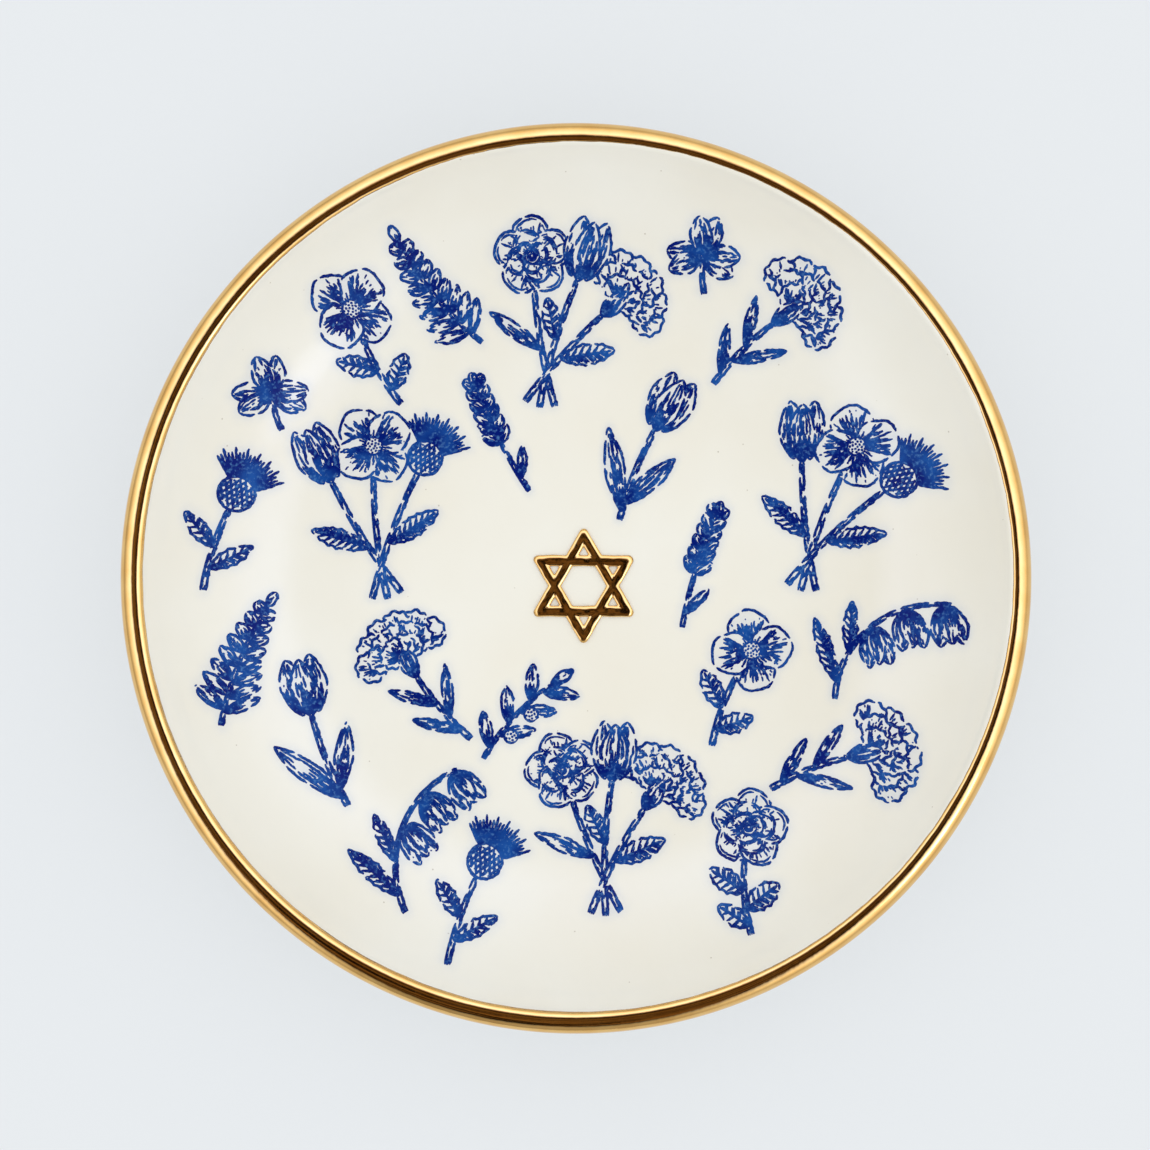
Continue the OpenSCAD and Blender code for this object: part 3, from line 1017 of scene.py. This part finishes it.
printed = []
for seed, (name, (motif, share, bearing, turn)) in enumerate(sprigs.items(), 11):
    middle = spun((field_r * share, 0), bearing)
    plate = Plate(*middle, turn, seed)
    motifs[motif](plate)
    values = {
        "Unevenness": 1.25, "Beads": 2100.0, "Wobble": 0.28 * MM, "Relief": 0.3,
        "Floor radius": floor_r, "Bend radius": bend_r - wall_t / 2 - glaze_t, "Bend height": bend_z,
        "Seed": float(seed), "Finish": cobalt,
    }
    sprig = grown(name + "_print", line_mesh(name + "_lines", plate.lines), press, values)
    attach(sprig, "root")
    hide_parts(name)
    printed.append(sprig)

# The blue that bled into the glaze round the lines, strongest close to them
soak, given = new_tree("bled_colour", {
    "Prints": "Object", "Reach": "Float", "Softness": "Int", "Finish": "Material",
})
colour = add_node(soak, "GeometryNodeObjectInfo", {"Object": given["Prints"]})["Geometry"]
away = add_node(soak, "GeometryNodeProximity", {0: colour}, target_element="POINTS")["Distance"]
fading = calc(soak, "SUBTRACT", 1.0, calc(soak, "DIVIDE", away, given["Reach"]))
blurred = {0: calc(soak, "MAXIMUM", fading, 0.0), "Iterations": given["Softness"]}
spread = add_node(soak, "GeometryNodeBlurAttribute", blurred, data_type="FLOAT")[0]
stored = {0: given["Geometry"], "Name": "bleed", "Value": spread}
stained = add_node(soak, "GeometryNodeStoreNamedAttribute", stored, data_type="FLOAT", domain="POINT")[0]
close_tree(soak, stained, given["Finish"], True)

soaked = bpy.data.meshes.new("soaked_points")
soaked.from_pydata([corner.co for sprig in printed for corner in sprig.data.vertices], [], [])
ink_points = new_piece("ink_points", soaked)
put_on(glaze_shell, soak, {
    "Prints": ink_points, "Reach": bleed_reach, "Softness": bleed_softness, "Finish": glaze,
})
glaze_shell.data = worked_mesh(glaze_shell)
bpy.data.objects.remove(ink_points)

# Gilded lip
# Bright gold painted by hand over the lip with a broad soft brush, while the dish turned on
# a banding wheel. The band follows the lip's lean and thins out at its edges, and it wanders
# a little, so its inner edge isn't quite round.
gold_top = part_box("rim_gilding")[1]
gold_t = gold_top.z - glaze_top.z
band_in = math.radians(39)
band_out = math.radians(120)
band_feather = math.radians(22)
band_worn = math.radians(7)
band_sway = math.radians(19)
band_tremble = math.radians(22)
band_bearing = math.radians(39)
band_hold = 0.5
band_facets = 1080
band_rows = 34
under_rows = 6
edge_share = 0.15
full_share = 0.81
sunk_share = 0.3
lip_gold_thin = (0.500, 0.240, 0.065, 1)


def gold_paint(name, brightest, dullest, gold_thin_and_shade):
    """Fired bright gold: a little uneven in colour and gloss, browner where it thins at its painted
    edges; at the star's foot that brown is also painted shade.
    """
    finish, tree, shader, place = new_finish(name)
    gold_rich = (0.790, 0.450, 0.120, 1)
    gold_bright = (0.880, 0.560, 0.185, 1)
    brush_marks = 0.03 * MM
    pooled = grade(tree, cloud(tree, place, 260, 3), 0.35, 0.7)
    even_gold = blend_colours(tree, pooled, gold_rich, gold_bright)
    # Browner gold where the lustre thins at a painted edge; at the star's foot this brown is also
    # painted shade.
    edge = add_node(tree, "ShaderNodeAttribute", attribute_name="thin_and_shade")["Fac"]
    patchy = grade(tree, cloud(tree, place, 1500, 3), 0.4, 0.62, 0.25, 1.0)
    thin_and_shade_share = calc(tree, "MULTIPLY", edge, patchy)
    tree.links.new(blend_colours(tree, thin_and_shade_share, even_gold, gold_thin_and_shade), shader.inputs["Base Color"])
    shader.inputs["Metallic"].default_value = 1.0
    shader.inputs["Coat Weight"].default_value = 1.0
    shader.inputs["Coat IOR"].default_value = 1.4
    shader.inputs["Coat Roughness"].default_value = 0.05
    dulled = grade(tree, cloud(tree, place, 420, 4), 0.3, 0.75, brightest, dullest)
    tree.links.new(dulled, shader.inputs["Roughness"])
    roughen(tree, shader, cloud(tree, place, 520, 2), brush_marks)
    return finish


band_gold = gold_paint("lip_gold", brightest=0.05, dullest=0.14, gold_thin_and_shade=lip_gold_thin)
section = []
thin_and_shade = []
for i in range(band_rows + 1):
    turn = -band_in + (band_in + band_out) * (i / band_rows)
    from_edge = min(turn + band_in, band_out - turn)
    full = math.sin(min(from_edge / band_feather, 1) * math.pi / 2)
    section.append((turn, lip_r + glaze_t + gold_t * (edge_share + full_share * full)))
    thin_and_shade.append(1 - min(from_edge / band_worn, 1))
for i in reversed(range(under_rows)):
    turn = -band_in + (band_in + band_out) * (i + 0.5) / under_rows
    section.append((turn, lip_r + glaze_t - gold_t * sunk_share))
    thin_and_shade.append(0)
hold = [max(0, 1 - (turn + band_in) / (band_in + band_hold)) for turn, arc in section]
band_points = [(lip_x + arc * math.sin(turn), lip_z + arc * math.cos(turn)) for turn, arc in section]
band_mesh = section_mesh("lip_band", band_points, ring=True)
band_mesh.attributes.new("hold", "FLOAT", "POINT").data.foreach_set("value", hold)
band_mesh.attributes.new("thin_and_shade", "FLOAT", "POINT").data.foreach_set("value", thin_and_shade)

# The tree that paints the band: turned on the wheel, with its inner edge swayed by the hand
banding, given = new_tree("painted_band", {
    "Facets": "Int", "Hub": "Float", "Lip radius": "Float", "Lip height": "Float",
    "Sway": "Float", "Bearing": "Float", "Tremble": "Float", "Lean": "Float", "Crown": "Float",
    "Seed": "Float", "Finish": "Material",
})
brushed = swept_round(banding, given)
here = add_node(banding, "GeometryNodeInputPosition")[0]
outward = vector_calc(banding, "NORMALIZE", vector_calc(banding, "MULTIPLY", here, (1, 1, 0)))
axes = add_node(banding, "ShaderNodeSeparateXYZ", {0: outward})
bearing = calc(banding, "ARCTAN2", axes["Y"], axes["X"])
off_bearing = calc(banding, "SUBTRACT", bearing, given["Bearing"])
long_sway = calc(banding, "MULTIPLY", calc(banding, "COSINE", off_bearing), given["Sway"])
unsteady = {"Vector": outward, "W": given["Seed"], "Scale": 11.0, "Detail": 4.0, "Roughness": 0.62}
slow = add_node(banding, "ShaderNodeTexNoise", unsteady, noise_dimensions="4D")[0]
shake = calc(banding, "MULTIPLY", calc(banding, "SUBTRACT", slow, 0.5), given["Tremble"])
held = add_node(banding, "GeometryNodeInputNamedAttribute", {"Name": "hold"}, data_type="FLOAT")[0]
slip = calc(banding, "MULTIPLY", calc(banding, "ADD", long_sway, shake), held)
lip_ring = stretched(banding, outward, given["Lip radius"])
lip_level = add_node(banding, "ShaderNodeCombineXYZ", {"Z": given["Lip height"]})[0]
lip_middle = vector_calc(banding, "ADD", lip_ring, lip_level)
along_lip = vector_calc(banding, "CROSS_PRODUCT", (0, 0, 1), outward)
swung = {"Vector": here, "Center": lip_middle, "Axis": along_lip, "Angle": slip}
swayed = add_node(banding, "ShaderNodeVectorRotate", swung)[0]
painted = add_node(banding, "GeometryNodeSetPosition", {0: brushed, "Position": swayed})[0]
up = add_node(banding, "ShaderNodeSeparateXYZ", {0: here})["Z"]
above = calc(banding, "SUBTRACT", up, given["Lip height"])
towards_top = calc(banding, "MAXIMUM", calc(banding, "DIVIDE", above, given["Crown"]), 0.0)
lean_out = calc(banding, "MULTIPLY", given["Lean"], -1.0)
lean_in = calc(banding, "MULTIPLY", calc(banding, "POWER", towards_top, 2.0), lean_out)
inward = stretched(banding, outward, lean_in)
settled = add_node(banding, "GeometryNodeSetPosition", {0: painted, "Offset": inward})[0]
close_tree(banding, settled, given["Finish"], True)

lip_band = grown("lip_band", band_mesh, banding, {
    "Facets": band_facets, "Hub": hub_r, "Lip radius": lip_x, "Lip height": lip_z,
    "Sway": band_sway, "Bearing": band_bearing, "Tremble": band_tremble, "Lean": lip_lean,
    "Crown": lip_r + glaze_t, "Seed": 4.0, "Finish": band_gold,
})
face_outward(lip_band.data)
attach(lip_band, "root")
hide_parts("rim_gilding")

# Gilded star
# The same bright gold brushed over the star once it was fired, down to the glaze on all
# sides and inside the small openings, as a skin that follows the soft clay and thins out
# at its hem. Its hem is coloured a darker brown: partly the thinning lustre, partly
# painted shade at the foot of the star.
hem_thin_and_shade_height = 0.19 * MM
# Darker brown for the star's hem: the thinning lustre there, and painted shade where the star meets the
# glaze.
star_gold_thin_and_shade = (0.300, 0.140, 0.038, 1)
star_gold = new_piece("star_gold", star_clay.data.copy())
shape = bmesh.new()
shape.from_mesh(star_gold.data)
everything = shape.verts[:] + shape.edges[:] + shape.faces[:]
cut = {"plane_co": (0, 0, well_z), "plane_no": (0, 0, 1), "clear_inner": True}
bmesh.ops.bisect_plane(shape, geom=everything, **cut)
shape.to_mesh(star_gold.data)
shape.free()
skin = star_gold.modifiers.new("skin", "SOLIDIFY")
skin.thickness = gold_t
skin.offset = 1.0
star_gold.data = worked_mesh(star_gold)
# The hem's darker brown fades out over its height: thinning lustre and painted shade.
hem_thin_and_shade = [max(0, 1 - (corner.co.z - well_z) / hem_thin_and_shade_height) for corner in star_gold.data.vertices]
star_gold.data.attributes.new("thin_and_shade", "FLOAT", "POINT").data.foreach_set("value", hem_thin_and_shade)
star_gold.data.shade_smooth()
star_gold.data.materials.clear()
star_paint = gold_paint("star_gold", brightest=0.06, dullest=0.13, gold_thin_and_shade=star_gold_thin_and_shade)
star_gold.data.materials.append(star_paint)
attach(star_gold, "root")
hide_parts("star_gilding")

# Table
# A plain pale table top under the dish, matt, with a trace of unevenness in its colour. It
# glows a little to the eye and in the gold, so that it stays pale, and keeps the dish's shadow.
table_half = 1.5
table_pale = (0.718, 0.746, 0.769, 1)
table_grey = (0.706, 0.734, 0.757, 1)
table_roughness = 0.9
glow_share = 0.6
glow_tone = (0.807, 0.838, 0.863, 1)
table_top = bpy.data.meshes.new("table")
corners = [(x * table_half, y * table_half, 0) for x, y in ((-1, -1), (1, -1), (1, 1), (-1, 1))]
table_top.from_pydata(corners, [], [(0, 1, 2, 3)])
table = new_piece("table", table_top)
matt, tree, shader, place = new_finish("pale_table")
uneven = blend_colours(tree, cloud(tree, place, 30, 2), table_pale, table_grey)
tree.links.new(uneven, shader.inputs["Base Color"])
shader.inputs["Roughness"].default_value = table_roughness
shader.inputs["Specular IOR Level"].default_value = 0.0
ray = add_node(tree, "ShaderNodeLightPath")
mirrored = calc(tree, "MAXIMUM", ray["Is Glossy Ray"], ray["Is Transmission Ray"])
seen = calc(tree, "MAXIMUM", ray["Is Camera Ray"], mirrored)
glow = add_node(tree, "ShaderNodeEmission", {"Color": glow_tone, "Strength": 1.0})[0]
lit_and_glow = {0: calc(tree, "MULTIPLY", seen, glow_share), 1: shader.outputs[0], 2: glow}
surface = add_node(tree, "ShaderNodeMixShader", lit_and_glow)[0]
tree.links.new(surface, tree.nodes["Material Output"].inputs["Surface"])
table.data.materials.append(matt)

# Light
# A white tent round the table, a little brighter on the right. Gold and glaze mirror it with
# more contrast: dim low down, bright and cool higher up, with a dark opening overhead that
# draws the dark lines in the gold, and a window whose gleam lies on the left of the well.
tent_even = 1.165
tent_slope = 0.08
tent_dim = 0.66
tent_bright = 2.3
tent_brightens = (0.2, 0.95)
tent_white = (1, 1, 1, 1)
tent_cool = (0.93, 1.01, 1.43, 1)
tent_cools = (0.40, 0.75)
opening_dark = (0.004, 0.002, 0.001, 1)
opening_brown = (0.122, 0.068, 0.026, 1)
opening_clouds = (0.43, 0.72)
opening_middle = (-0.075, -0.265)
opening_half = (0.470, 0.695)
opening_fullness = 3.0
opening_edge = (0.80, 1.16)
window_way = Vector((0.60, -0.42, 0.66)).normalized()
window_half = math.radians(10)
window_gain = 3.4
world = bpy.data.worlds.new("white_tent")
world.use_nodes = True
tree = world.node_tree
outlook = add_node(tree, "ShaderNodeTexCoord")["Generated"]
axes = add_node(tree, "ShaderNodeSeparateXYZ", {0: outlook})
mirrored = add_node(tree, "ShaderNodeLightPath")["Is Glossy Ray"]
not_mirrored = calc(tree, "SUBTRACT", 1.0, mirrored)
powers = []
for axis, middle, half in zip("XY", opening_middle, opening_half):
    off_middle = calc(tree, "DIVIDE", calc(tree, "SUBTRACT", axes[axis], middle), half)
    powers.append(calc(tree, "POWER", calc(tree, "ABSOLUTE", off_middle), opening_fullness))
from_opening = calc(tree, "POWER", calc(tree, "ADD", *powers), 1 / opening_fullness)
clouded = grade(tree, cloud(tree, outlook, 4.6, 2), *opening_clouds)
beyond = blend_colours(tree, clouded, opening_dark, opening_brown)
in_tent = calc(tree, "MAXIMUM", grade(tree, from_opening, *opening_edge), not_mirrored)
high_up = calc(tree, "MULTIPLY", mirrored, grade(tree, axes["Z"], *tent_cools))
cloth_white = blend_colours(tree, high_up, tent_white, tent_cool)
sky = tree.nodes["Background"].inputs
tree.links.new(blend_colours(tree, in_tent, beyond, cloth_white), sky["Color"])
slope = calc(tree, "MULTIPLY", axes["X"], tent_slope)
facing = {0: outlook, 1: window_way}
towards = add_node(tree, "ShaderNodeVectorMath", facing, operation="DOT_PRODUCT")["Value"]
gleam = calc(tree, "MULTIPLY", grade(tree, towards, math.cos(window_half), 1.0), window_gain)
cloth = calc(tree, "ADD", slope, grade(tree, axes["Z"], *tent_brightens, tent_dim, tent_bright))
seen_cloth = calc(tree, "MULTIPLY", mirrored, calc(tree, "ADD", cloth, gleam))
even_cloth = calc(tree, "MULTIPLY", not_mirrored, calc(tree, "ADD", slope, tent_even))
tree.links.new(calc(tree, "ADD", seen_cloth, even_cloth), sky["Strength"])
bpy.context.scene.world = world

# Camera
# Straight above the dish. The frame is 1150 pixels square, and the dish is a circle in it,
# a little right of and below the middle.
frame_px = 1150
dish_px = 455.4
dish_right_px = 1.0
dish_down_px = 3.3
camera_up = 0.32
px = gold_top.x / dish_px
lens = bpy.data.cameras.new("camera")
lens.sensor_width = 36
lens.lens = lens.sensor_width * (camera_up - lip_z) / (frame_px * px)
camera = new_piece("camera", lens)
camera.location = (-dish_right_px * px, dish_down_px * px, camera_up)
bpy.context.scene.camera = camera
bpy.context.scene.view_settings.view_transform = "Standard"
